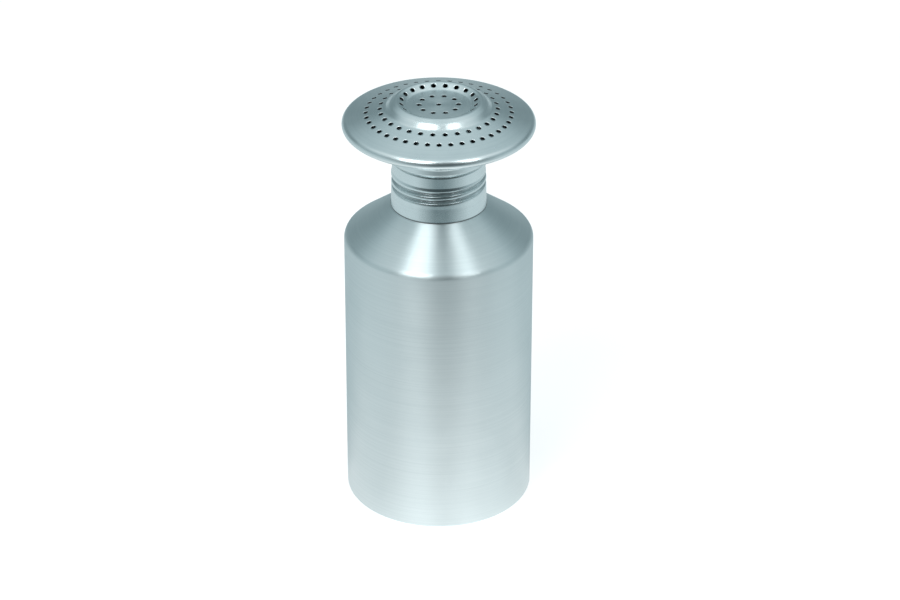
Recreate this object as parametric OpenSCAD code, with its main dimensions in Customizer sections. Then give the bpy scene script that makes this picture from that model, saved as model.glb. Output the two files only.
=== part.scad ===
// Spice shaker with a mushroom head: a one-piece spun can whose neck has a rolled screw
// thread, and a sprinkler head of three sheet pieces that screws onto it over a seal ring.
// Millimetres, +Z up, origin at the centre of the base, front of the shaker towards -Y.

/* [Can] */
// Outside diameter of the can
can_d = 80; // [60:0.5:110]
// Height of the corner between the wall and the shoulder
shoulder_z = 122.9; // [60:0.1:220]
// Rise of the shoulder above the horizontal, in degrees
shoulder_slope = 36.2; // [20:0.1:50]
// Thickness of the can's sheet
can_sheet = 1; // [0.6:0.05:1.2]
// Outside radius of the bend between the base and the wall
base_bend = 1.5; // [1.4:0.1:6]
// Outside radius of the bend between the wall and the shoulder
shoulder_bend = 3.5; // [1.5:0.1:10]
// Radius of the bend between the shoulder and the neck
neck_bend = 1; // [0.4:0.1:1.4]
// Width of the flat ring that the can stands on
foot_ring_w = 6; // [3:0.5:12]
// How far the middle of the base is pressed up
base_recess = 1; // [0.5:0.1:3]

/* [Screw thread] */
// Outside diameter of the neck at the root of its thread
neck_d = 36.5; // [30:0.1:44]
// Rise of the thread in one turn
thread_pitch = 3.4; // [2.8:0.1:5]
// How far the rolled ridges stand out
thread_depth = 0.75; // [0.4:0.05:1]
// Turns of the groove rolled into the collar
collar_turns = 2.2; // [1.5:0.1:3]
// Turns of the ridge rolled into the neck
neck_turns = 1.9; // [1:0.1:2]
// Running gap between the two threads
thread_gap = 0.35; // [0.3:0.05:0.6]

/* [Collar] */
// Thickness of the collar's sheet
collar_sheet = 0.6; // [0.4:0.05:0.8]
// Height of the plain skirt below the thread
skirt_h = 6.9; // [4:0.1:16]
// How far the foot of the skirt is wider than the thread, on the radius
skirt_flare = 0.35; // [0.15:0.05:1]
// Gap between the foot of the skirt and the shoulder
skirt_gap = 0.25; // [0.2:0.05:2]
// Height of the plain band between the thread and the funnel's lip
band_h = 3.9; // [1:0.1:12]
// How far the plain band is narrower than the thread, on the radius
band_step = 0.35; // [0.1:0.05:0.4]
// Width of the flange turned inwards at the top
collar_flange_w = 2.4; // [1.5:0.1:4]

/* [Seal ring] */
// Thickness of the seal ring
seal_t = 1.5; // [0.8:0.1:3]
// Width of the seal ring, across its face
seal_w = 1.9; // [1.2:0.1:3]
// Gap over and under the seal ring
seal_gap = 0.1; // [0.05:0.01:0.3]

/* [Funnel] */
// Thickness of the funnel's sheet
funnel_sheet = 0.7; // [0.4:0.05:1]
// How far the funnel's lip reaches down over the collar
funnel_overlap = 2.9; // [1.5:0.1:6]
// Height from the collar's top to the seam at the rim
funnel_h = 11.3; // [6:0.1:24]
// How far the lip is flared out, on the radius
lip_flare = 0.4; // [0.1:0.05:0.8]
// Fit between the funnel and the collar, on the radius
funnel_fit = 0.03; // [0:0.01:0.1]
// Width of the funnel's flange, clasped by the rolled rim
seam_w = 2.6; // [2:0.1:5]

/* [Sprinkler top] */
// Outside diameter of the rolled rim
rim_d = 80.7; // [62:0.1:110]
// Outside radius of the roll at the rim
rim_roll = 2.4; // [2:0.05:3.5]
// Thickness of the sprinkler top's sheet
top_sheet = 0.8; // [0.5:0.05:1]
// Height of the dish floor above the middle of the rolled rim
dish_rise = 8.3; // [6.5:0.1:16]
// Diameter of the flat dish floor
dish_d = 27.6; // [20:0.1:29]
// Diameter of the raised crest around the dish
crest_d = 35; // [33.5:0.1:37]
// Height of the crest above the dish floor
crest_h = 2.1; // [1:0.1:4]
// Diameter at which the wall of the crest runs out into the brim
brim_d = 44.4; // [43:0.1:47]
// How far the brim begins below the dish floor
brim_drop = 1.2; // [0.5:0.1:3]
// How far the middle of the brim hangs below a straight line
brim_sag = 0.35; // [0:0.05:1]

/* [Sprinkling holes] */
// Diameter of each hole
hole_d = 2; // [1:0.1:2.4]
// Pitch circle diameter of each ring of holes, innermost first
hole_rings_d = [16.4, 31.2, 48.9, 60.5];
// Number of holes in each ring
hole_counts = [10, 20, 30, 40];
// Angle of one hole in each ring, in degrees from +X
hole_starts = [182, 170, 180.2, 180.3];

/* [Hidden] */
$fn = 96;
bend_step = 10;      // largest turn of one facet of a bend, in degrees
sweep_step = 7.5;    // turn between two sections of a thread, in degrees
thread_front = -90;  // direction in which the height of a thread is stated
fade_turns = 0.14;   // share of a turn over which a thread rises and runs out
sink = 0.1;          // depth at which a thread's edges lie under the surface
reach = 0.45;        // how far a thread's section carries on past that surface
rib_reach = 0.2;     // the same for the collar's rib, whose wall is thinner
groove_from = -0.08; // where the collar's groove starts, in turns from the front
ridge_from = -0.55;  // where the neck's ridge starts, in turns from the front
plain_margin = 0.05; // plain wall left beside the collar's thread
seal_side_gap = 0.2; // gap around the outside of the seal ring
step_h = 0.45;       // height of the slanting steps beside the collar's thread
tight_bend = 0.2;    // radius on the hollow side of a sheet's sharp bends

// Half widths of a rolled thread's section, each at a share of its depth and in pitches
groove_section = [[0, 0.34], [0.16, 0.27], [0.45, 0.19], [0.82, 0.11], [1, 0.04]];
rib_section = [[0, 0.38], [0.2, 0.33], [0.55, 0.26], [0.87, 0.19], [1, 0.10]];
ridge_section = [[0, 0.34], [0.35, 0.26], [0.8, 0.16], [1, 0.07]];
hollow_section = [[0, 0.25], [0.5, 0.15], [1, 0.05]];
beside_thread = rib_section[0][1]*thread_pitch + plain_margin;

// Radii that the neck and the collar share
can_r = can_d/2;
neck_r = neck_d/2;
rib_r = neck_r + thread_gap;
valley_r = rib_r + collar_sheet;
ridge_r = valley_r + thread_depth;
band_r = ridge_r - band_step;
band_in = band_r - collar_sheet;
skirt_top_r = ridge_r + skirt_flare*0.7;
skirt_foot_r = ridge_r + skirt_flare;

// Heights, from the shoulder up to the seam
function shoulder_at(r) = shoulder_z + (can_r - r)*tan(shoulder_slope);
skirt_foot_z = shoulder_at(skirt_foot_r) + skirt_gap;
skirt_top_z = skirt_foot_z + skirt_h;
thread_z = skirt_top_z + step_h + beside_thread;
thread_top_z = thread_z + (groove_from + collar_turns - fade_turns)*thread_pitch + beside_thread;
lip_z = thread_top_z + step_h + band_h;
collar_top_z = lip_z + funnel_overlap;
seal_top_z = collar_top_z - collar_sheet - seal_gap;
neck_top_z = seal_top_z - seal_t - seal_gap;
seam_z = collar_top_z + funnel_h;

// The rolled rim, and the flange inside it
roll_r = rim_d/2 - rim_roll;
roll_z = seam_z - top_sheet + rim_roll;
seam_in_r = roll_r - seam_w;

function unit(v) = v/norm(v);
function turned(v) = [-v[1], v[0]];
function reversed(list) = [for (i = [len(list) - 1:-1:0]) list[i]];
function arc(centre, r, from, to) =
    let (n = max(2, ceil(abs(to - from)/bend_step)))
    [for (i = [0:n]) let (a = from + (to - from)*i/n) centre + r*[cos(a), sin(a)]];

// A path of [r, z, bend] corners with every inner corner bent to its own radius
function bent(corners) = [for (i = [0:len(corners) - 1]) each bent_corner(corners, i)];
function bent_corner(corners, i) =
    let (c = corners[i], p = [c[0], c[1]], bend = is_undef(c[2]) ? 0 : c[2])
    i == 0 || i == len(corners) - 1 || bend == 0 ? [p] :
    let (
        before = unit([corners[i - 1][0], corners[i - 1][1]] - p),
        after = unit([corners[i + 1][0], corners[i + 1][1]] - p),
        half = acos(before*after)/2,
        centre = p + unit(before + after)*bend/sin(half),
        start = p + before*bend/tan(half) - centre,
        swing = (before[0]*after[1] - before[1]*after[0] > 0 ? -1 : 1)*(180 - 2*half),
        from = atan2(start[1], start[0])
    )
    arc(centre, bend, from, from + swing);

// The outline of sheet metal whose one face follows the path; t > 0 puts the metal on the left
function sheet(path, t) = concat(path, reversed([for (i = [0:len(path) - 1]) shifted(path, i, t)]));
function shifted(path, i, t) =
    let (
        last = len(path) - 1,
        a = turned(unit(path[max(i, 1)] - path[max(i, 1) - 1])),
        b = turned(unit(path[min(i, last - 1) + 1] - path[min(i, last - 1)]))
    )
    path[i] + t*(a + b)/(1 + a*b);

// Height and slope, in degrees, of a path at a distance from the axis
function step_over(path, r) = [for (i = [0:len(path) - 2]) if (path[i][0] <= r && path[i + 1][0] > r) i][0];
function height_at(path, r) =
    let (i = step_over(path, r), a = path[i], b = path[i + 1])
    a[1] + (b[1] - a[1])*(r - a[0])/(b[0] - a[0]);
function slope_at(path, r) =
    let (i = step_over(path, r), d = path[i + 1] - path[i])
    atan2(d[1], d[0]);

// A right-hand thread on a cylinder, growing outwards (side 1) or inwards (side -1) from its
// surface; z is its height at the front, and turns run up from there
module thread(surface_r, side, section, z, from, to, behind = reach) {
    count = ceil((to - from)*360/sweep_step);
    widths = [for (p = section) p[1]*thread_pitch];
    heights = [for (p = section) p[0]];
    last = len(section) - 1;
    outline = concat(
        [[-behind, widths[0]]],
        [for (i = [0:last]) [heights[i], widths[i]]],
        [for (i = [last:-1:0]) [heights[i], -widths[i]]],
        [[-behind, -widths[0]]]
    );
    sides = len(outline);
    points = [
        for (k = [0:count])
        let (
            t = from + (to - from)*k/count,
            fade = min(1, (t - from)/fade_turns, (to - t)/fade_turns),
            grown = (1 - cos(180*fade))/2,
            angle = thread_front + 360*t
        )
        for (p = outline)
        let (
            out = p[0] < 0 ? p[0] : (thread_depth + sink)*grown*p[0] - sink,
            r = surface_r + side*out
        )
        [r*cos(angle), r*sin(angle), z + thread_pitch*t + side*p[1]*(0.4 + 0.6*grown)]
    ];
    walls = [
        for (k = [0:count - 1], i = [0:sides - 1])
        let (j = (i + 1) % sides, a = k*sides, b = (k + 1)*sides)
        each [[a + i, b + i, b + j], [a + i, b + j, a + j]]
    ];
    ends = concat(
        [for (i = [1:sides - 2]) [0, i, i + 1]],
        [for (i = [1:sides - 2]) [count*sides, count*sides + i + 1, count*sides + i]]
    );
    polyhedron(points = points, faces = concat(walls, ends));
}

// The can: recessed base, wall, shoulder and threaded neck, all from one sheet
module container() {
    foot_in_r = can_r - base_bend - foot_ring_w;
    outside = bent([
        [0, base_recess],
        [foot_in_r - 2*base_recess, base_recess, 1],
        [foot_in_r, 0, can_sheet + tight_bend],
        [can_r, 0, base_bend],
        [can_r, shoulder_z, shoulder_bend],
        [neck_r, shoulder_at(neck_r), neck_bend],
        [neck_r, neck_top_z]
    ]);
    inner_r = neck_r - can_sheet;
    ridge_z = thread_z + thread_pitch/2;
    color("lightsteelblue")
    difference() {
        union() {
            rotate_extrude() polygon(sheet(outside, can_sheet));
            thread(neck_r, 1, ridge_section, ridge_z, ridge_from, ridge_from + neck_turns);
        }
        thread(inner_r, 1, hollow_section, ridge_z, ridge_from, ridge_from + neck_turns);
    }
}

// The soft ring that the neck's lip presses against the collar's flange
module seal_ring() {
    outer_r = band_in - seal_side_gap;
    color("dimgray")
    translate([0, 0, seal_top_z - seal_t])
    difference() {
        cylinder(r = outer_r, h = seal_t);
        translate([0, 0, -1]) cylinder(r = outer_r - seal_w, h = seal_t + 2);
    }
}

// The screw collar: flared skirt, rolled thread, plain band and a flange turned inwards
module screw_collar() {
    groove_to = groove_from + collar_turns;
    outside = bent([
        [skirt_foot_r + 0.1, skirt_foot_z - 2],
        [skirt_top_r, skirt_top_z, collar_sheet + tight_bend],
        [ridge_r, skirt_top_z + step_h, tight_bend],
        [ridge_r, thread_top_z, collar_sheet + tight_bend],
        [band_r, thread_top_z + step_h, tight_bend],
        [band_r, collar_top_z, collar_sheet + 2*tight_bend],
        [band_in - collar_flange_w, collar_top_z]
    ]);
    color("silver")
    difference() {
        union() {
            rotate_extrude() polygon(sheet(outside, collar_sheet));
            thread(ridge_r - collar_sheet, -1, rib_section, thread_z, groove_from, groove_to, rib_reach);
        }
        thread(ridge_r, -1, groove_section, thread_z, groove_from, groove_to);
        // The foot is cut off parallel to the shoulder
        rotate_extrude() polygon([
            [0, skirt_foot_z - 10],
            [can_r, skirt_foot_z - 10],
            [can_r, shoulder_at(can_r) + skirt_gap],
            [neck_r - 1, shoulder_at(neck_r - 1) + skirt_gap],
            [0, shoulder_at(neck_r - 1) + skirt_gap]
        ]);
    }
}

// The funnel under the brim, from its lip over the collar out to the flange in the rolled rim
module head_funnel() {
    tube_r = band_r + funnel_fit + funnel_sheet;
    flare_h = 3*lip_flare;
    underside = bent([
        [tube_r + lip_flare, lip_z],
        [tube_r, lip_z + flare_h, 1],
        [tube_r, collar_top_z + 1, 4],
        [seam_in_r - 1, seam_z, 2],
        [roll_r, seam_z]
    ]);
    color("gainsboro") rotate_extrude() polygon(sheet(underside, funnel_sheet));
}

// The perforated top: dish, crest, brim and a rim rolled in under the funnel's flange
dish_z = roll_z + dish_rise;
brim_start = [brim_d/2, dish_z - brim_drop];
roll_centre = [roll_r, roll_z];
brim_middle = [
    (brim_start[0] + rim_d/2)/2,
    (brim_start[1] + roll_z + rim_roll)/2 - brim_sag
];
dish_r = dish_d/2;
crest_r = crest_d/2;
crest_bend = 2;
// The crest's two walls meet above its rounded top by this much
crest_over = 0.55;
top_face = concat(
    bent([
        [0, dish_z],
        [dish_r, dish_z, 1.5],
        [crest_r, dish_z + crest_h + crest_over, crest_bend],
        [brim_start[0], brim_start[1], 4],
        [brim_middle[0], brim_middle[1], 50],
        roll_centre + rim_roll*[cos(75), sin(75)]
    ]),
    arc(roll_centre, rim_roll, 70, -90),
    [[seam_in_r, seam_z - top_sheet]]
);

module sprinkler_top() {
    color("lightgray")
    difference() {
        rotate_extrude() polygon(sheet(top_face, -top_sheet));
        sprinkling_hole(0, 0);
        for (ring = [0:len(hole_counts) - 1], i = [0:hole_counts[ring] - 1])
            sprinkling_hole(hole_rings_d[ring]/2, hole_starts[ring] + 360*i/hole_counts[ring]);
    }
}

// One hole, square to the sheet at its own distance from the axis
module sprinkling_hole(r, angle) {
    rotate([0, 0, angle])
    translate([r, 0, height_at(top_face, r)])
    rotate([0, -slope_at(top_face, r), 0])
    cylinder(d = hole_d, h = 3*top_sheet, center = true, $fn = 24);
}

container();
seal_ring();
screw_collar();
head_funnel();
sprinkler_top();
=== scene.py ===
import math
import bmesh
import bpy
from mathutils import Matrix, Vector, noise


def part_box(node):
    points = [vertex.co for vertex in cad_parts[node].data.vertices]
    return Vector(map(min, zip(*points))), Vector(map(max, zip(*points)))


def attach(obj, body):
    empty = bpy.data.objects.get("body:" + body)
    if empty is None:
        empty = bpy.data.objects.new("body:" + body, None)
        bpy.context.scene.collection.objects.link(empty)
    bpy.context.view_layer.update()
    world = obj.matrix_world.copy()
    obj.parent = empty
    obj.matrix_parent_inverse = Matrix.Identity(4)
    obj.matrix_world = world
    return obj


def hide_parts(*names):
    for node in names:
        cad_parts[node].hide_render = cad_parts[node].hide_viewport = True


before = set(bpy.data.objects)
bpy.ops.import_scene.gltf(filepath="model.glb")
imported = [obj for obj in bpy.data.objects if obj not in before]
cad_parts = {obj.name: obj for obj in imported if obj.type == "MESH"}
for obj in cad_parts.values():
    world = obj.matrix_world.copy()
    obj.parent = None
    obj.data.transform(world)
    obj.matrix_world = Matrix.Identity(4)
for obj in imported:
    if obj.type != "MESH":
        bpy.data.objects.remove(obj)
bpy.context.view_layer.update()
mm = 0.001
front = -math.pi/2  # the threads' turns are counted from the front
closeTo = 0.01  # heights and radii within this many millimetres are the same


def addNode(tree, kind, inputs=None, **settings):
    # inputs: socket name or number -> a value, or an output socket to link from
    node = tree.nodes.new(kind)
    for name, value in settings.items():
        setattr(node, name, value)
    for name, value in (inputs or {}).items():
        if isinstance(value, bpy.types.NodeSocket):
            tree.links.new(value, node.inputs[name])
        else:
            node.inputs[name].default_value = value
    return node


def addMath(tree, operation, *values):
    return addNode(tree, "ShaderNodeMath", dict(enumerate(values)), operation=operation).outputs[0]


def addRange(tree, value, low, high, toLow, toHigh):
    inputs = {"Value": value, "From Min": low, "From Max": high, "To Min": toLow, "To Max": toHigh}
    return addNode(tree, "ShaderNodeMapRange", inputs).outputs[0]


def addSpread(tree, value, toLow, toHigh):
    # nearly all of a noise texture's values lie from 0.3 to 0.7
    return addRange(tree, value, 0.3, 0.7, toLow, toHigh)


def addNoise(tree, vector, scale, detail=2, rough=0.5):
    inputs = {"Vector": vector, "Scale": scale, "Detail": detail, "Roughness": rough}
    return addNode(tree, "ShaderNodeTexNoise", inputs).outputs[0]


def mixColours(tree, factor, a, b):
    return addNode(tree, "ShaderNodeMix", {0: factor, 6: a, 7: b}, data_type="RGBA").outputs[2]


def turnedCoordinates(tree, along, across):
    # a pattern that runs round the axis: slow round it, fast along the sheet
    place = addNode(tree, "ShaderNodeTexCoord").outputs["Object"]
    axes = addNode(tree, "ShaderNodeSeparateXYZ", {0: place})
    squares = [addMath(tree, "MULTIPLY", axes.outputs[i], axes.outputs[i]) for i in (0, 1)]
    radius = addMath(tree, "SQRT", addMath(tree, "ADD", *squares))
    fast = addNode(tree, "ShaderNodeCombineXYZ", {0: addMath(tree, "MULTIPLY", radius, across),
                                                  1: addMath(tree, "MULTIPLY", axes.outputs[2], across)})
    slow = addNode(tree, "ShaderNodeVectorMath", {0: place, "Scale": along}, operation="SCALE")
    both = addNode(tree, "ShaderNodeVectorMath", {0: fast.outputs[0], 1: slow.outputs[0]}, operation="ADD")
    return place, both.outputs[0]


# spacing in metres, depths in millimetres, scales in marks to a metre
# the satin finish's near-black third colour is painted shade for creases, gaps and seams
satin = {"light": (0.835, 0.94, 0.955, 1), "dark": (0.735, 0.845, 0.865, 1), "paintedShade": (0.03, 0.035, 0.037, 1),
         "smooth": 0.38, "rough": 0.46, "paintedShadeRough": 0.25, "anisotropy": 0.86, "anisotropyTurn": 0.25,
         "lineSpacing": 0.0006, "lineAlong": 12, "lineTone": 0.6, "lineDepth": 0.012,
         "cloudScale": 55, "cloudTone": 0.5, "rippleScale": 60, "rippleDepth": 0.03,
         "pitScale": 900, "pitEdge": (0.72, 0.78), "pits": 0.15, "pitRough": 0.2, "pitDepth": 0.02}
headFinish = {**satin, "smooth": 0.27, "rough": 0.33, "anisotropy": 0.6, "cloudScale": 90}
collarFinish = {**satin, "smooth": 0.19, "rough": 0.27, "anisotropy": 0, "cloudScale": 160, "lineTone": 0.3,
                "lineDepth": 0, "rippleDepth": 0.003, "pits": 0, "pitDepth": 0}
# the inside metal is painted near black: painted shade for the head's hollow and its holes' walls
insideShadeFinish = {**satin, "light": (0.09, 0.1, 0.105, 1), "dark": (0.04, 0.046, 0.048, 1),
               "smooth": 0.5, "rough": 0.65}


def spunAluminium(name, finish):
    # satin sheet aluminium: fine lines round the axis, cloudy handling marks, small pits and painted shade in
    # creases
    material = bpy.data.materials.new(name)
    material.use_nodes = True
    tree = material.node_tree
    shader = tree.nodes["Principled BSDF"]
    shader.inputs["Metallic"].default_value = 1
    shader.inputs["Anisotropic"].default_value = finish["anisotropy"]
    shader.inputs["Anisotropic Rotation"].default_value = finish["anisotropyTurn"]
    place, turned = turnedCoordinates(tree, finish["lineAlong"], 1/finish["lineSpacing"])
    lines = addNoise(tree, turned, scale=1, detail=3, rough=0.7)
    clouds = addNoise(tree, place, finish["cloudScale"], detail=4, rough=0.6)
    specks = addNoise(tree, place, finish["pitScale"], detail=1)
    pits = addRange(tree, specks, *finish["pitEdge"], 0, finish["pits"])
    tone = addMath(tree, "ADD", addSpread(tree, clouds, -finish["cloudTone"], finish["cloudTone"]),
                   addSpread(tree, lines, -finish["lineTone"], finish["lineTone"]))
    tone = addMath(tree, "SUBTRACT", tone, pits)
    colour = mixColours(tree, addRange(tree, tone, -1, 1, 0, 1), finish["dark"], finish["light"])
    # each piece says in its own attribute where it is painted dark as shade, which also roughens it there
    paintedShade = addNode(tree, "ShaderNodeAttribute", attribute_name="paintedShade").outputs["Fac"]
    tree.links.new(mixColours(tree, paintedShade, colour, finish["paintedShade"]), shader.inputs["Base Color"])
    gloss = addMath(tree, "ADD", addSpread(tree, clouds, finish["smooth"], finish["rough"]),
                    addMath(tree, "MULTIPLY", pits, finish["pitRough"]))
    gloss = addMath(tree, "ADD", gloss, addMath(tree, "MULTIPLY", paintedShade, finish["paintedShadeRough"]))
    tree.links.new(gloss, shader.inputs["Roughness"])
    tangent = addNode(tree, "ShaderNodeTangent", direction_type="RADIAL", axis="Z")
    tree.links.new(tangent.outputs[0], shader.inputs["Tangent"])
    ripples = addNoise(tree, place, finish["rippleScale"])
    height = addMath(tree, "ADD", addMath(tree, "MULTIPLY", lines, finish["lineDepth"]),
                     addMath(tree, "MULTIPLY", ripples, finish["rippleDepth"]))
    height = addMath(tree, "SUBTRACT", height, addMath(tree, "MULTIPLY", pits, finish["pitDepth"]))
    bump = addNode(tree, "ShaderNodeBump", {"Strength": 1, "Distance": mm, "Height": height})
    tree.links.new(bump.outputs[0], shader.inputs["Normal"])
    return material


seal = {"dark": (0.012, 0.012, 0.012, 1), "light": (0.03, 0.03, 0.029, 1), "smooth": 0.6, "rough": 0.85,
        "grainScale": 1500, "grainDepth": 0.05, "grainBump": 0.4}


def sealRubber():
    material = bpy.data.materials.new("sealRubber")
    material.use_nodes = True
    tree = material.node_tree
    shader = tree.nodes["Principled BSDF"]
    place = addNode(tree, "ShaderNodeTexCoord").outputs["Object"]
    grain = addNoise(tree, place, seal["grainScale"], detail=3, rough=0.6)
    tree.links.new(mixColours(tree, grain, seal["dark"], seal["light"]), shader.inputs["Base Color"])
    tree.links.new(addRange(tree, grain, 0, 1, seal["smooth"], seal["rough"]), shader.inputs["Roughness"])
    bump = addNode(tree, "ShaderNodeBump", {"Strength": seal["grainBump"], "Distance": seal["grainDepth"]*mm,
                                            "Height": grain})
    tree.links.new(bump.outputs[0], shader.inputs["Normal"])
    return material


print("stage: materials")
canMetal = spunAluminium("canAluminium", satin)
headMetal = spunAluminium("headAluminium", headFinish)
collarMetal = spunAluminium("collarAluminium", collarFinish)
insideShadeMetal = spunAluminium("insidePaintedShade", insideShadeFinish)
rubber = sealRubber()


# a sheet's outline is a list of (r, z) in millimetres, which is spun round the axis
def bendCorner(before, corner, after, step):
    # the arc that replaces a corner, with a point for every few degrees
    p = Vector(corner[:2])
    a = (Vector(before[:2]) - p).normalized()
    b = (Vector(after[:2]) - p).normalized()
    half = math.acos(max(-1, min(1, a.dot(b))))/2
    centre = p + (a + b).normalized()*corner[2]/math.sin(half)
    start = p + a*corner[2]/math.tan(half) - centre
    swing = (math.pi - 2*half)*(-1 if a.x*b.y - a.y*b.x > 0 else 1)
    count = max(2, math.ceil(abs(swing)/math.radians(step)))
    first = math.atan2(start.y, start.x)
    angles = [first + swing*i/count for i in range(count + 1)]
    return [centre + corner[2]*Vector((math.cos(t), math.sin(t))) for t in angles]


def bendPath(corners, step=5, support=0.25):
    # corners are (r, z) or (r, z, bend radius); a ring beside each bend keeps the shading clean
    path = [Vector(corners[0][:2])]
    for before, corner, after in zip(corners, corners[1:], corners[2:]):
        if len(corner) < 3:
            path.append(Vector(corner[:2]))
            continue
        arc = bendCorner(before, corner, after, step)
        back = path[-1] - arc[0]
        on = Vector(after[:2]) - arc[-1]
        if back.length > 3*support:
            path.append(arc[0] + back.normalized()*support)
        path.extend(arc)
        if on.length > 3*support:
            path.append(arc[-1] + on.normalized()*support)
    path.append(Vector(corners[-1][:2]))
    return path


def offsetPath(path, thickness):
    # the path moved sideways; a positive thickness goes to its left
    moved = []
    last = len(path) - 1
    for i, p in enumerate(path):
        a = (path[max(i, 1)] - path[max(i, 1) - 1]).normalized()
        b = (path[min(i, last - 1) + 1] - path[min(i, last - 1)]).normalized()
        left = Vector((-a.y - b.y, a.x + b.x))
        moved.append(p + left*thickness/(1 + a.dot(b)))
    return moved


def addRows(path, low, high, step):
    # closer rows where both ends of a stretch lie between two heights
    dense = [path[0]]
    for a, b in zip(path, path[1:]):
        inside = low - closeTo <= min(a.y, b.y) and max(a.y, b.y) <= high + closeTo
        count = max(1, math.ceil((b - a).length/step)) if inside else 1
        dense.extend(a.lerp(b, i/count) for i in range(1, count + 1))
    return dense


def arcPoints(centre, radius, first, last, step):
    count = math.ceil(abs(last - first)/step)
    angles = [math.radians(first + (last - first)*i/count) for i in range(count + 1)]
    return [Vector(centre) + radius*Vector((math.cos(t), math.sin(t))) for t in angles]


def addSupport(path, distance=0.25):
    # a row close to each cut end keeps the shading of the sheet flat up to it
    first, last = path[0], path[-1]
    near = first + (path[1] - first).normalized()*distance
    far = last + (path[-2] - last).normalized()*distance
    return [first, near] + path[1:-1] + [far, last]


def roundRim(a, b, radius, step=30):
    # a sheet's cut edge from a to b, with its corners broken
    across = (b - a).normalized()
    out = Vector((across.y, -across.x))
    first = bendCorner(a - out, (a.x, a.y, radius), b, step)
    second = bendCorner(a, (b.x, b.y, radius), b - out, step)
    return first + second


def spinSheet(outline, closed, steps, mergeGap=0.0005):
    bm = bmesh.new()
    verts = [bm.verts.new((p.x, 0, p.y)) for p in outline]
    pairs = list(zip(verts, verts[1:])) + ([(verts[-1], verts[0])] if closed else [])
    edges = [bm.edges.new(pair) for pair in pairs]
    bmesh.ops.spin(bm, geom=verts + edges, cent=(0, 0, 0), axis=(0, 0, 1), dvec=(0, 0, 0),
                   angle=2*math.pi, steps=steps, use_merge=True)
    bmesh.ops.remove_doubles(bm, verts=bm.verts, dist=mergeGap)
    bmesh.ops.recalc_face_normals(bm, faces=bm.faces)
    return bm


def finishPiece(name, bm, material, body, nodes, inner=None):
    # inner tells which faces take the inside metal, which is painted near black as shade
    bmesh.ops.scale(bm, vec=(mm, mm, mm), verts=bm.verts)
    for face in bm.faces:
        face.smooth = True
        face.material_index = 1 if inner and inner(face) else 0
    mesh = bpy.data.meshes.new(name)
    bm.to_mesh(mesh)
    bm.free()
    mesh.materials.append(material)
    if inner:
        mesh.materials.append(insideShadeMetal)
    piece = bpy.data.objects.new(name, mesh)
    bpy.context.scene.collection.objects.link(piece)
    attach(piece, body)
    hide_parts(*nodes)
    print("piece:", name, len(mesh.polygons), "faces")


# millimetres, but round is in pitches and fade in turns; the last five are shares of the full width,
# depth and painted shade
screw = {"pitch": 3.4, "depth": 0.75, "neckR": 18.25, "gap": 0.35, "round": 0.02, "fade": 0.14,
         "endWidth": 0.4, "bottomFrom": 0.9, "bottomShade": 0.6, "upperFull": 0.6, "upperShade": 0.82}
# half heights above and below the middle in pitches; tight is 0 for a round bottom and 1 for a sharp one
neckRidge = {"above": 0.36, "below": 0.36, "tight": 0, "depth": 0.75}
neckHollow = {**neckRidge, "above": 0.25, "below": 0.25}
collarGroove = {"above": 0.34, "below": 0.6, "tight": 0.85, "depth": 0.9}
collarRib = {**neckRidge, "above": 0.46, "below": 0.46}


def shareAt(away, above, below, tight):
    # share of the thread's depth beside its middle
    wide = above if away > 0 else below
    away = math.hypot(away, screw["round"]) - screw["round"]
    if away >= wide:
        return 0
    turn = math.pi*away/wide
    return tight*(1 - math.sin(turn/2)) + (1 - tight)*(1 + math.cos(turn))/2


def slantRows(bm, radius, low, high, sectors=4, reach=0.105, ease=0.9):
    # a straight wall's rows follow the thread, which shades its edges cleanly; between the sectors
    # they run back over a short stretch
    for v in bm.verts:
        if abs(math.hypot(v.co.x, v.co.y) - radius) > 2*closeTo or not low < v.co.z < high:
            continue
        turn = (math.atan2(v.co.y, v.co.x) - front)/(2*math.pi)
        away = ((turn*sectors + 0.5) % 1 - 0.5)/sectors
        if abs(away) > reach:
            away = math.copysign(reach*(0.5/sectors - abs(away))/(0.5/sectors - reach), away)
        v.co.z += screw["pitch"]*away*min(1, (v.co.z - low)/ease, (high - v.co.z)/ease)


def rollThread(bm, shape, side, z, fromTurn, toTurn, rows, radii):
    # moves the wall in (side -1) or out (side 1) along a right-hand helix; a groove takes painted shade
    pitch = screw["pitch"]
    paintedShade = bm.verts.layers.float.get("paintedShade") or bm.verts.layers.float.new("paintedShade")
    for v in bm.verts:
        radius = math.hypot(v.co.x, v.co.y)
        if not (rows[0] < v.co.z < rows[1] and radii[0] < radius < radii[1]):
            continue
        turn = (math.atan2(v.co.y, v.co.x) - front)/(2*math.pi) % 1
        share = over = 0
        for t in (turn + k for k in range(math.floor(fromTurn), math.ceil(toTurn) + 1)):
            if fromTurn <= t <= toTurn:
                fade = min(1, (t - fromTurn)/screw["fade"], (toTurn - t)/screw["fade"])
                grown = (1 - math.cos(math.pi*fade))/2
                width = screw["endWidth"] + (1 - screw["endWidth"])*grown
                away = (v.co.z - z - pitch*t)/pitch/width
                here = grown*shareAt(away, shape["above"], shape["below"], shape["tight"])
                share = max(share, here)
                over = max(over, here if away > 0 else 0)
        scale = (radius + side*share*shape["depth"])/radius
        # painted shade: a groove's bottom and its upper flank are darkened
        if side < 0:
            bottom = (share - screw["bottomFrom"])/(1 - screw["bottomFrom"])
            upper = min(1, over/screw["upperFull"])
            v[paintedShade] = max(v[paintedShade], screw["bottomShade"]*bottom, screw["upperShade"]*upper)
        v.co.x *= scale
        v.co.y *= scale


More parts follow.
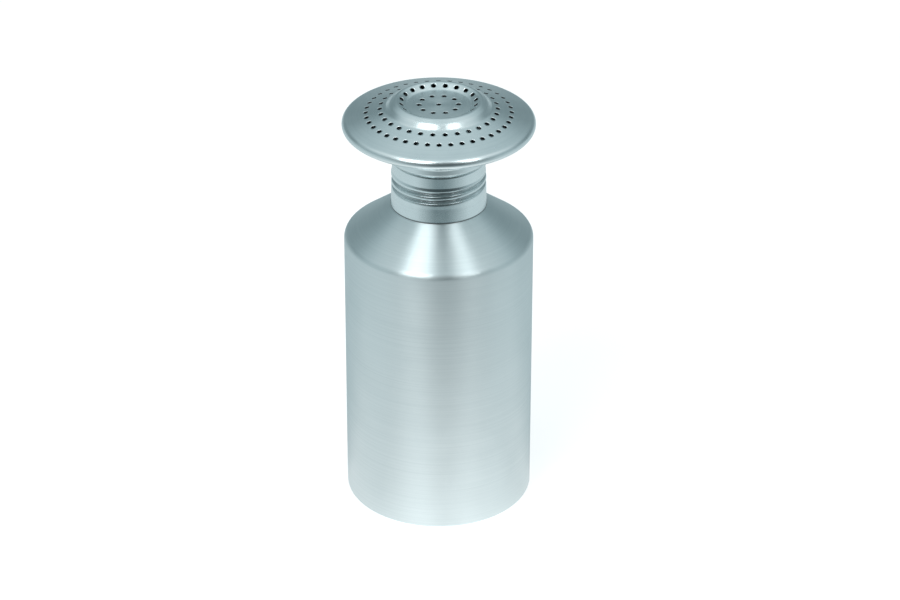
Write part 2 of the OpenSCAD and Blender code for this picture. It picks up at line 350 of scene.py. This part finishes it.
# millimetres, but slope is in degrees, the thread's start and length in turns, its reach in pitches,
# waveUpright a factor and steps a count; a row is the distance between two rings of faces
can = {"r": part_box("container")[1].x/mm, "neckTop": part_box("container")[1].z/mm, "sheet": 1.0,
       "recess": 1.0, "recessBend": 1.0, "footRing": 6.0, "footBend": 1.2, "baseBend": 1.5,
       "shoulderZ": 122.9, "shoulderBend": 3.5, "slope": 36.2, "neckBend": 1.0, "rimBend": 0.3,
       "threadFrom": -0.55, "threadTurns": 1.9, "threadReach": 0.45, "wallReach": 0.2,
       "wallRow": 4, "rowsOverFoot": 2, "rowsUnderShoulder": 4, "coneRow": 3, "rowsUnderNeck": 2,
       "threadRow": 0.15, "threadRowInside": 0.4, "edgeRow": 0.5,
       "waveDepth": 0.12, "waveLength": 14, "waveAround": 20, "waveUpright": 0.6, "waveEase": 8,
       "waveFromAxis": 5, "waveOverFoot": 1.5, "waveUnderShoulder": 1, "steps": 256}


def shoulderAt(r):
    return can["shoulderZ"] + (can["r"] - r)*math.tan(math.radians(can["slope"]))


def wobble(bm, low, high):
    # hand-spun sheet is never quite round: push it in a little, the same on both faces
    for v in bm.verts:
        radius = math.hypot(v.co.x, v.co.y)
        if radius < can["waveFromAxis"] or not low < v.co.z < high:
            continue
        around = Vector((v.co.x, v.co.y, 0))/radius
        ease = min(1, (v.co.z - low)/can["waveEase"], (high - v.co.z)/can["waveEase"])
        place = Vector((around.x*can["waveAround"], around.y*can["waveAround"], v.co.z*can["waveUpright"]))
        v.co -= around*can["waveDepth"]*ease*(0.5 + 0.5*noise.noise(place/can["waveLength"]))


def makeCan():
    neckR = screw["neckR"]
    ridgeZ = threadZ - screw["pitch"]/2
    low = ridgeZ + (can["threadFrom"] - can["threadReach"])*screw["pitch"]
    high = ridgeZ + (can["threadFrom"] + can["threadTurns"] + can["threadReach"])*screw["pitch"]
    footIn = can["r"] - can["baseBend"] - can["footRing"]
    corners = [
        (0, can["recess"]),
        (footIn - 2*can["recess"], can["recess"], can["recessBend"]),
        (footIn, 0, can["footBend"]),
        (can["r"], 0, can["baseBend"]),
        (can["r"], can["shoulderZ"], can["shoulderBend"]),
        (neckR, shoulderAt(neckR), can["neckBend"]),
        (neckR, low),
        (neckR, high),
        (neckR, can["neckTop"]),
    ]
    wallTop = can["shoulderZ"] - can["rowsUnderShoulder"]
    path = addRows(bendPath(corners), can["rowsOverFoot"], wallTop, can["wallRow"])
    path = addRows(path, can["shoulderZ"], shoulderAt(neckR) - can["rowsUnderNeck"], can["coneRow"])
    outer = addSupport(addRows(path, low, high, can["threadRow"]), can["edgeRow"])
    inner = offsetPath(addRows(path, low, high, can["threadRowInside"]), can["sheet"])
    inner = addSupport(inner, can["edgeRow"])
    rim = roundRim(outer[-1], inner[-1], can["rimBend"])
    bm = spinSheet(outer[:-1] + rim + inner[-2::-1], False, can["steps"])
    ends = (can["threadFrom"], can["threadFrom"] + can["threadTurns"])
    for shape, wallR in ((neckRidge, neckR), (neckHollow, neckR - can["sheet"])):
        radii = (wallR - can["wallReach"], wallR + can["wallReach"])
        rollThread(bm, shape, 1, ridgeZ, *ends, (low, high), radii)
    wobble(bm, can["waveOverFoot"], can["shoulderZ"] - can["waveUnderShoulder"])
    finishPiece("canShell", bm, canMetal, "can", ["container"])


# millimetres, but the groove's start and length are in turns and steps is a count; the lip and foot
# shares say how much painted shade the sheet takes under the funnel's lip and at its own foot
collar = {"top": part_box("screw_collar")[1].z/mm, "sheet": 0.6, "skirtH": 6.4, "skirtBend": 8,
          "flare": 0.35, "footGap": 0.25, "footDrop": 0.1, "footIn": 0.12, "footCurl": 0.4,
          "footBend": 0.6, "footRim": 0.12, "grooveRise": 9.9, "grooveFrom": -0.3, "grooveTurns": 2.05,
          "outerReach": (0.1, 0.2), "innerReach": (0.1, 0.3), "bandRise": 15.8, "bandStep": 0.35,
          "stepH": 1.1, "stepBend": 1, "waist": 0.3, "waistFrom": 0.75, "waistTo": 0.2, "waistBend": 0.5,
          "flange": 2.4, "flangeBend": 1.0, "flangeRim": 0.2, "support": 0.15,
          "row": 0.1, "rowInside": 0.4, "rowsOverSkirt": 0.2, "rowsUnderStep": 0.4, "rowsOverBand": 0.4,
          "rowsUnderLip": 1, "lipShade": 0.7, "lipShadeFrom": 0.45, "lipShadeOver": 0.3,
          "footShade": 0.85, "footShadeFrom": 0.35, "footShadeOver": 0.25, "steps": 288}
ridgeR = screw["neckR"] + screw["gap"] + collar["sheet"] + screw["depth"]
skirtFootR = ridgeR + collar["flare"]
skirtFootZ = shoulderAt(skirtFootR) + collar["footGap"]
skirtTopZ = skirtFootZ + collar["skirtH"]
# the groove's middle at the front, and the foot of the plain band above the thread
threadZ = skirtFootZ + collar["grooveRise"]
bandZ = skirtFootZ + collar["bandRise"]
bandR = ridgeR - collar["bandStep"]
bandIn = bandR - collar["sheet"]


def makeCollar():
    sheet = collar["sheet"]
    support = collar["support"]
    lipZ = collar["top"] - funnel["overlap"]
    waistR = bandR - collar["waist"]
    foot = [
        (skirtFootR, skirtFootZ - collar["footDrop"]),
        (skirtFootR - collar["footIn"], skirtFootZ + collar["footCurl"], collar["footBend"]),
        (ridgeR, skirtTopZ, collar["skirtBend"]),
        (ridgeR, bandZ - collar["stepH"], collar["stepBend"]),
        (bandR, bandZ, collar["stepBend"]),
    ]
    # the outside is a little narrower under the funnel's lip
    waist = [(bandR, lipZ - collar["waistFrom"], collar["waistBend"]),
             (waistR, lipZ + collar["waistTo"], collar["waistBend"]),
             (waistR, collar["top"], collar["flangeBend"])]
    flangeEnd = (bandIn - collar["flange"], collar["top"])
    path = bendPath(foot + [(bandR, collar["top"], collar["flangeBend"]), flangeEnd], support=support)
    outer = bendPath(foot + waist + [flangeEnd], support=support)
    rowsTop = bandZ + collar["rowsOverBand"]
    outer = addSupport(addRows(outer, skirtTopZ, rowsTop, collar["row"]))
    inner = offsetPath(addRows(path, skirtTopZ, rowsTop, collar["rowInside"]), sheet)
    inner[0].y = shoulderAt(inner[0].x) + collar["footGap"] - collar["footDrop"]
    inner = addSupport(inner)
    footRim = roundRim(inner[0], outer[0], collar["footRim"])
    flangeRim = roundRim(outer[-1], inner[-1], collar["flangeRim"])
    bm = spinSheet(footRim + outer[1:-1] + flangeRim + inner[-2:0:-1], True, collar["steps"])
    low = skirtTopZ + collar["rowsOverSkirt"]
    slantRows(bm, ridgeR, low, bandZ - collar["stepH"] - collar["rowsUnderStep"])
    ends = (collar["grooveFrom"], collar["grooveFrom"] + collar["grooveTurns"])
    outside = (bandR - collar["outerReach"][0], skirtFootR + collar["outerReach"][1])
    inside = (bandIn - collar["innerReach"][0], ridgeR - sheet + collar["innerReach"][1])
    for shape, radii in ((collarGroove, outside), (collarRib, inside)):
        rollThread(bm, shape, -1, threadZ, *ends, (low, lipZ - collar["rowsUnderLip"]), radii)
    paintedShade = bm.verts.layers.float["paintedShade"]
    # painted shade: a dark band under the funnel's lip and a dark line at the skirt's foot
    for v in bm.verts:
        shadeUnderLip = min(1, (v.co.z - lipZ + collar["lipShadeFrom"])/collar["lipShadeOver"])
        shadeAtFoot = min(1, (skirtFootZ + collar["footShadeFrom"] - v.co.z)/collar["footShadeOver"])
        v[paintedShade] = max(v[paintedShade], collar["lipShade"]*shadeUnderLip, collar["footShade"]*shadeAtFoot)
    finishPiece("threadedCollar", bm, collarMetal, "head", ["screw_collar"])


# millimetres, but steps is a count, and the seam share says how much painted shade the sheet takes in the
# seam under the rolled rim
funnel = {"sheet": 0.7, "overlap": 2.9, "fit": 0.03, "drawnIn": 0.4, "seamZ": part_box("head_funnel")[1].z/mm,
          "lipRise": 0.05, "lipH": 1.2, "lipBend": 0.8, "lipRim": 0.1, "tubeRise": 1.3, "bend": 2,
          "flangeIn": 1, "flangeRim": 0.2, "support": 0.15, "edge": 0.12, "edgeInside": 0.3,
          "row": 2, "rowClear": 1, "seamShade": 0.6, "seamShadeFrom": 4, "seamShadeOver": 3, "steps": 240}


def makeFunnel():
    sheet = funnel["sheet"]
    tubeR = bandR + funnel["fit"] + sheet
    lipZ = collar["top"] - funnel["overlap"]
    corners = [
        (tubeR, lipZ + funnel["lipRise"]),
        (tubeR, collar["top"] + funnel["tubeRise"], funnel["bend"]),
        (seamIn - funnel["flangeIn"], seamZ, funnel["bend"]),
        (rollR, seamZ),
    ]
    # the lip is drawn in onto the collar
    lip = [(tubeR - funnel["drawnIn"], lipZ + funnel["lipRise"]),
           (tubeR, lipZ + funnel["lipH"], funnel["lipBend"])]
    rows = (collar["top"] + funnel["rowClear"], seamZ - funnel["rowClear"], funnel["row"])
    outer = addRows(bendPath(lip + corners[1:], support=funnel["support"]), *rows)
    inner = addRows(bendPath(corners, support=funnel["support"]), *rows)
    inner = addSupport(offsetPath(inner, sheet), funnel["edgeInside"])
    outer = addSupport(outer, funnel["edge"])
    lipRim = roundRim(inner[0], outer[0], funnel["lipRim"])
    flangeRim = roundRim(outer[-1], inner[-1], funnel["flangeRim"])
    bm = spinSheet(lipRim + outer[1:-1] + flangeRim + inner[-2:0:-1], True, funnel["steps"])
    paintedShade = bm.verts.layers.float.new("paintedShade")
    # painted shade, darker towards the seam under the rolled rim
    for v in bm.verts:
        shadeInSeam = (math.hypot(v.co.x, v.co.y) - rollR + funnel["seamShadeFrom"])/funnel["seamShadeOver"]
        v[paintedShade] = funnel["seamShade"]*max(0, min(1, shadeInSeam))
    finishPiece("brimFunnel", bm, headMetal, "head", ["head_funnel"])


# millimetres, but the roll's angles are in degrees, middleRings in radii of a hole and middleEdges is a
# count; the crest and the slope are the corners that the sheet is bent from
top = {"rimR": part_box("sprinkler_top")[1].x/mm, "roll": 2.4, "rollMeet": 75, "rollFrom": 70, "rollTo": -90,
       "sheet": 0.8, "seam": 2.6, "dishRise": 8.3, "dishR": 13.8, "dishBend": 1.5,
       "crestR": 17.5, "crestH": 2.1, "crestOver": 0.35, "crestBend": 2,
       "slopeR": 20.2, "slopeH": 1.0, "slopeBend": 4, "brimR": 22.2, "brimDrop": 1.2, "brimBend": 2.5,
       "sag": 0.35, "sagBend": 50, "holeR": 1.0, "middleRings": (1, 1.5, 2.5), "middleEdges": 40,
       "row": 1.2, "rowClear": 0.12, "ringClear": 0.3, "mergeGap": 0.002}
seamZ = funnel["seamZ"] - funnel["sheet"]
rollR = top["rimR"] - top["roll"]
seamIn = rollR - top["seam"]
# each ring: radius, holes, angle of one hole, half height of its cell, edges across and along a cell
holeRings = [
    {"r": 8.2, "holes": 10, "start": 182, "half": 2.4, "across": 24, "along": 8},
    {"r": 15.6, "holes": 20, "start": 170, "half": 1.45, "across": 12, "along": 6},
    {"r": 24.45, "holes": 30, "start": 180.2, "half": 1.9, "across": 8, "along": 6},
    {"r": 30.25, "holes": 40, "start": 180.3, "half": 1.9, "across": 6, "along": 6},
]


def topFace():
    rollZ = seamZ - top["sheet"] + top["roll"]
    dishZ = rollZ + top["dishRise"]
    centre = Vector((rollR, rollZ))
    brimStart = (top["brimR"], dishZ - top["brimDrop"])
    middle = ((brimStart[0] + top["rimR"])/2, (brimStart[1] + rollZ + top["roll"])/2 - top["sag"])
    turn = math.radians(top["rollMeet"])
    corners = [
        (0, dishZ),
        (top["dishR"], dishZ, top["dishBend"]),
        (top["crestR"], dishZ + top["crestH"] + top["crestOver"], top["crestBend"]),
        (top["slopeR"], dishZ + top["slopeH"], top["slopeBend"]),
        (*brimStart, top["brimBend"]),
        (*middle, top["sagBend"]),
        centre + top["roll"]*Vector((math.cos(turn), math.sin(turn))),
    ]
    path = bendPath(corners, step=6)
    path += arcPoints(centre, top["roll"], top["rollFrom"], top["rollTo"], step=8)
    path.append(Vector((seamIn, seamZ - top["sheet"])))
    return path


class Sheet:
    # the top's face, read by the distance along it from the axis
    def __init__(self, path):
        self.path = path
        self.at = [0]
        for a, b in zip(path, path[1:]):
            self.at.append(self.at[-1] + (b - a).length)

    def point(self, s):
        i = max(k for k in range(len(self.at) - 1) if self.at[k] <= s or k == 0)
        return self.path[i].lerp(self.path[i + 1], (s - self.at[i])/(self.at[i + 1] - self.at[i]))

    def reach(self, r):
        i = next(k for k, (a, b) in enumerate(zip(self.path, self.path[1:])) if a.x <= r < b.x)
        a, b = self.path[i], self.path[i + 1]
        return self.at[i] + (r - a.x)/(b.x - a.x)*(b - a).length

    def rows(self, low, high):
        # distances between two rings of cells: the path's own points, and none far apart
        inside = [s for s in self.at if low + top["rowClear"] < s < high - top["rowClear"]]
        stops = [low] + inside + [high]
        out = []
        for a, b in zip(stops, stops[1:]):
            count = max(1, math.ceil((b - a)/top["row"]))
            out.extend(a + (b - a)*i/count for i in range(1, count + 1))
        return out


def holeCell(bm, ring, sheet):
    # one hole in its own piece of the sheet, laid flat, bent into place and repeated round the axis
    across, along = ring["across"], ring["along"]
    count = 2*(across + along)
    width = 2*math.pi*ring["r"]/ring["holes"]
    cell = bmesh.new()
    bmesh.ops.create_circle(cell, segments=count, radius=top["holeR"])
    edge = bmesh.ops.create_circle(cell, segments=count, radius=2*top["holeR"])["verts"]
    turns = [math.atan2(v.co.y, v.co.x) % (2*math.pi) for v in edge]
    for v, turn in zip(edge, turns):
        # the outer circle becomes the cell's rectangle
        step = (round(turn/(2*math.pi)*count) + across/2) % count
        if step <= across:
            x, y = 1, step/across - 0.5
        elif step <= across + along:
            x, y = 1 - 2*(step - across)/along, 0.5
        elif step <= 2*across + along:
            x, y = -1, 0.5 - (step - across - along)/across
        else:
            x, y = 2*(step - 2*across - along)/along - 1, -0.5
        v.co = (x*ring["half"], y*width, 0)
    cross = bmesh.ops.bridge_loops(cell, edges=cell.edges)["edges"]
    bmesh.ops.subdivide_edges(cell, edges=cross, cuts=2, use_grid_fill=True)
    s0 = sheet.reach(ring["r"])
    for v in cell.verts:
        p = sheet.point(s0 + v.co.x)
        angle = math.radians(ring["start"]) + v.co.y/ring["r"]
        v.co = (p.x*math.cos(angle), p.x*math.sin(angle), p.y)
    bmesh.ops.spin(cell, geom=cell.verts[:] + cell.edges[:] + cell.faces[:], cent=(0, 0, 0), axis=(0, 0, 1),
                   dvec=(0, 0, 0), angle=2*math.pi*(ring["holes"] - 1)/ring["holes"],
                   steps=ring["holes"] - 1, use_duplicate=True)
    mesh = bpy.data.meshes.new("cell")
    cell.to_mesh(mesh)
    cell.free()
    bm.from_mesh(mesh)
    bpy.data.meshes.remove(mesh)
    return s0 - ring["half"], s0 + ring["half"]


def liesAt(edge, point):
    return all(abs(math.hypot(v.co.x, v.co.y) - point.x) < closeTo and abs(v.co.z - point.y) < closeTo
               for v in edge.verts)


def loopAt(bm, point):
    # the open edges that lie at this radius and height
    return [e for e in bm.edges if len(e.link_faces) == 1 and liesAt(e, point)]


def carryOn(bm, sheet, low, high):
    # rows of sheet from one ring's edge on; returns the last open loop
    edges = loopAt(bm, sheet.point(low))
    before = sheet.point(low)
    for s in sheet.rows(low, high):
        p = sheet.point(s)
        made = bmesh.ops.extrude_edge_only(bm, edges=edges)["geom"]
        for v in (g for g in made if isinstance(g, bmesh.types.BMVert)):
            v.co.x *= p.x/before.x
            v.co.y *= p.x/before.x
            v.co.z = p.y
        edges = [g for g in made if isinstance(g, bmesh.types.BMEdge) and liesAt(g, p)]
        before = p
    return edges


def makeTop():
    sheet = Sheet(topFace())
    bm = bmesh.new()
    spans = [holeCell(bm, ring, sheet) for ring in holeRings]
    bmesh.ops.remove_doubles(bm, verts=bm.verts, dist=top["mergeGap"])
    # the middle of the dish, with its own hole
    place = Matrix.Translation((0, 0, sheet.path[0].y))
    small = []
    for share in top["middleRings"]:
        verts = bmesh.ops.create_circle(bm, segments=top["middleEdges"], radius=share*top["holeR"],
                                        matrix=place)["verts"]
        small.append(list({e for v in verts for e in v.link_edges}))
    bmesh.ops.bridge_loops(bm, edges=small[0] + small[1])
    bmesh.ops.bridge_loops(bm, edges=small[1] + small[2])
    bmesh.ops.bridge_loops(bm, edges=small[2] + loopAt(bm, sheet.point(spans[0][0])))
    for (_, low), (high, _) in zip(spans, spans[1:]):
        edges = carryOn(bm, sheet, low, high - top["ringClear"])
        bmesh.ops.bridge_loops(bm, edges=edges + loopAt(bm, sheet.point(high)))
    carryOn(bm, sheet, spans[-1][1], sheet.at[-1])
    bmesh.ops.recalc_face_normals(bm, faces=bm.faces)
    if max(bm.faces, key=lambda f: f.calc_center_median().z).normal.z < 0:
        bmesh.ops.reverse_faces(bm, faces=bm.faces)
    outside = set(bm.faces)
    bmesh.ops.solidify(bm, geom=list(bm.faces), thickness=top["sheet"])
    # the inside and the holes' walls take the metal painted dark as shade
    finishPiece("perforatedTop", bm, headMetal, "head", ["sprinkler_top"],
                lambda face: face not in outside)


print("stage: pieces")
makeCan()
makeCollar()
makeFunnel()
makeTop()
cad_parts["seal_ring"].data.materials.clear()
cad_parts["seal_ring"].data.materials.append(rubber)


# levels are shares of white, as (metres over the floor, level) or (how far up the sky, level), and those
# under tintBelow take some of the tint; ahead and behind are degrees round from the front, skyFront and
# skyBack the y of a ray
studio = {"floorSize": 12, "floorColour": (0.85, 0.85, 0.85, 1), "floorGlow": 0.5, "farGlow": 0.66,
          "glowFrom": 0.4, "glowTo": 2, "tint": (0, 0.4, 0.51), "tintBelow": 0.9, "floorReach": 0.6,
          "aheadLeft": (-54, -8), "aheadRight": (18, 74), "behind": (95, 140),
          "skyFront": (-0.75, -0.35), "skyBack": (0.1, 0.45), "lampAim": (0, 0, 0.15),
          "frontFloor": [(0.04, 1.3), (0.06, 1.3), (0.08, 1.26), (0.113, 1.13), (0.148, 0.94),
                         (0.183, 0.75), (0.209, 0.57), (0.235, 0.39), (0.252, 0.31), (0.27, 0.26),
                         (0.35, 0.19), (0.42, 0.12), (0.47, 0.08), (0.6, 0.06)],
          "sideFloor": [(0.04, 1.0), (0.07, 0.96), (0.106, 0.91), (0.141, 0.84), (0.176, 0.79), (0.2, 0.75),
                        (0.25, 0.63), (0.6, 0.52)],
          "backFloor": [(0.04, 0.38), (0.07, 0.42), (0.1, 0.52), (0.2, 0.60), (0.6, 0.52)],
          "frontSky": [(0, 0.05), (0.46, 0.05), (0.67, 0.06), (0.77, 0.38), (0.88, 0.72), (1, 0.6)],
          "sideSky": [(0, 0.3), (0.35, 0.36), (0.55, 0.54), (0.7, 0.71), (0.84, 0.8), (1, 0.6)],
          "backSky": [(0, 0.24), (0.28, 0.2), (0.42, 0.18), (0.52, 0.28), (0.62, 0.42), (0.75, 0.5),
                      (0.9, 0.53), (1, 0.6)]}
# each lamp: degrees round from the front and up, distance from the point aimed at, size, level
lamps = {"left": {"turn": -30.5, "rise": 45, "away": 1.0, "size": (0.5, 0.64), "level": 3.2},
         "right": {"turn": 41, "rise": 45, "away": 1.0, "size": (0.28, 0.64), "level": 2.7}}
camera = {"elevation": 29.35, "distance": 1.397, "target": (0, 0, 0.09), "lens": 130.7, "sensor": 36,
          "shift": 0.0125}


def addLevels(tree, value, rows, reach=1):
    # a colour for each level: neutral when bright, tinted when dim
    ramp = addNode(tree, "ShaderNodeValToRGB", {0: addMath(tree, "DIVIDE", value, reach)})
    points = ramp.color_ramp.elements
    for place, level in rows[2:]:
        points.new(place/reach)
    for point, (place, level) in zip(points, rows):
        dim = max(0, studio["tintBelow"] - level)
        point.position = place/reach
        point.color = [level*(1 + t*dim) for t in studio["tint"]] + [1]
    return ramp.outputs[0]


def makeFloor():
    bm = bmesh.new()
    bmesh.ops.create_grid(bm, x_segments=2, y_segments=2, size=studio["floorSize"]/2)
    mesh = bpy.data.meshes.new("floor")
    bm.to_mesh(mesh)
    bm.free()
    floor = bpy.data.objects.new("floor", mesh)
    bpy.context.scene.collection.objects.link(floor)
    material = bpy.data.materials.new("paleFloor")
    material.use_nodes = True
    tree = material.node_tree
    tree.nodes.clear()
    output = addNode(tree, "ShaderNodeOutputMaterial")
    path = addNode(tree, "ShaderNodeLightPath")
    place = addNode(tree, "ShaderNodeTexCoord").outputs["Object"]
    axes = addNode(tree, "ShaderNodeSeparateXYZ", {0: place})
    away = addNode(tree, "ShaderNodeVectorMath", {0: place}, operation="LENGTH").outputs["Value"]
    # the angle round the object, from the front towards the right
    turn = addMath(tree, "DEGREES", addMath(tree, "ARCTAN2", axes.outputs[0],
                                            addMath(tree, "MULTIPLY", axes.outputs[1], -1)))
    wide = addMath(tree, "ABSOLUTE", turn)
    ahead = addMath(tree, "MULTIPLY", addRange(tree, turn, *studio["aheadLeft"], 0, 1),
                    addRange(tree, turn, *studio["aheadRight"], 1, 0))
    # the metal mirrors a floor that falls off with distance, most of all in front
    levels = [studio[name] for name in ("frontFloor", "sideFloor", "backFloor")]
    frontLevel, sideLevel, backLevel = (addLevels(tree, away, rows, studio["floorReach"]) for rows in levels)
    mirrored = mixColours(tree, ahead, sideLevel, frontLevel)
    mirrored = mixColours(tree, addRange(tree, wide, *studio["behind"], 0, 1), mirrored, backLevel)
    glow = addRange(tree, away, studio["glowFrom"], studio["glowTo"], studio["floorGlow"], studio["farGlow"])
    plain = addMath(tree, "ADD", addMath(tree, "MULTIPLY", path.outputs["Is Camera Ray"], glow),
                    path.outputs["Is Transmission Ray"])
    shown = addNode(tree, "ShaderNodeEmission", {"Color": (1, 1, 1, 1), "Strength": plain})
    diffuse = addNode(tree, "ShaderNodeBsdfDiffuse", {"Color": studio["floorColour"]})
    lit = addNode(tree, "ShaderNodeAddShader", {0: diffuse.outputs[0], 1: shown.outputs[0]})
    glossy = addNode(tree, "ShaderNodeEmission", {"Color": mirrored, "Strength": 1})
    both = addNode(tree, "ShaderNodeMixShader",
                   {0: path.outputs["Is Glossy Ray"], 1: lit.outputs[0], 2: glossy.outputs[0]})
    tree.links.new(both.outputs[0], output.inputs[0])
    mesh.materials.append(material)


def makeWorld():
    world = bpy.data.worlds.new("studio")
    bpy.context.scene.world = world
    world.use_nodes = True
    tree = world.node_tree
    tree.nodes.clear()
    output = addNode(tree, "ShaderNodeOutputWorld")
    path = addNode(tree, "ShaderNodeLightPath")
    ray = addNode(tree, "ShaderNodeTexCoord").outputs["Generated"]
    axes = addNode(tree, "ShaderNodeSeparateXYZ", {0: ray})
    levels = [studio[name] for name in ("frontSky", "sideSky", "backSky")]
    frontLevel, sideLevel, backLevel = (addLevels(tree, axes.outputs[2], rows) for rows in levels)
    depth = axes.outputs[1]
    plain = mixColours(tree, addRange(tree, depth, *studio["skyFront"], 0, 1), frontLevel, sideLevel)
    plain = mixColours(tree, addRange(tree, depth, *studio["skyBack"], 0, 1), plain, backLevel)
    shown = addMath(tree, "MAXIMUM", path.outputs["Is Camera Ray"], path.outputs["Is Transmission Ray"])
    level = mixColours(tree, shown, plain, (1, 1, 1, 1))
    background = addNode(tree, "ShaderNodeBackground", {"Color": level, "Strength": 1})
    tree.links.new(background.outputs[0], output.inputs[0])


def makeLamp(name, turn, rise, away, size, level):
    lamp = bpy.data.lights.new(name, "AREA")
    lamp.shape = "RECTANGLE"
    lamp.size, lamp.size_y = size
    lamp.energy = level*math.pi*size[0]*size[1]
    piece = bpy.data.objects.new(name, lamp)
    bpy.context.scene.collection.objects.link(piece)
    turn, rise = math.radians(turn), math.radians(rise)
    out = Vector((math.sin(turn)*math.cos(rise), -math.cos(turn)*math.cos(rise), math.sin(rise)))
    piece.location = Vector(studio["lampAim"]) + out*away
    piece.rotation_euler = (math.pi/2 - rise, 0, turn)


def makeCamera():
    data = bpy.data.cameras.new("camera")
    data.lens = camera["lens"]
    data.sensor_width = camera["sensor"]
    data.shift_x = camera["shift"]
    piece = bpy.data.objects.new("camera", data)
    bpy.context.scene.collection.objects.link(piece)
    rise = math.radians(camera["elevation"])
    back = Vector((0, -math.cos(rise), math.sin(rise)))
    piece.location = Vector(camera["target"]) + back*camera["distance"]
    piece.rotation_euler = (math.pi/2 - rise, 0, 0)
    bpy.context.scene.camera = piece


print("stage: studio")
makeFloor()
makeWorld()
for name, lamp in lamps.items():
    makeLamp(name + "Lamp", **lamp)
makeCamera()
bpy.context.scene.view_settings.view_transform = "Standard"

print("stage: done")
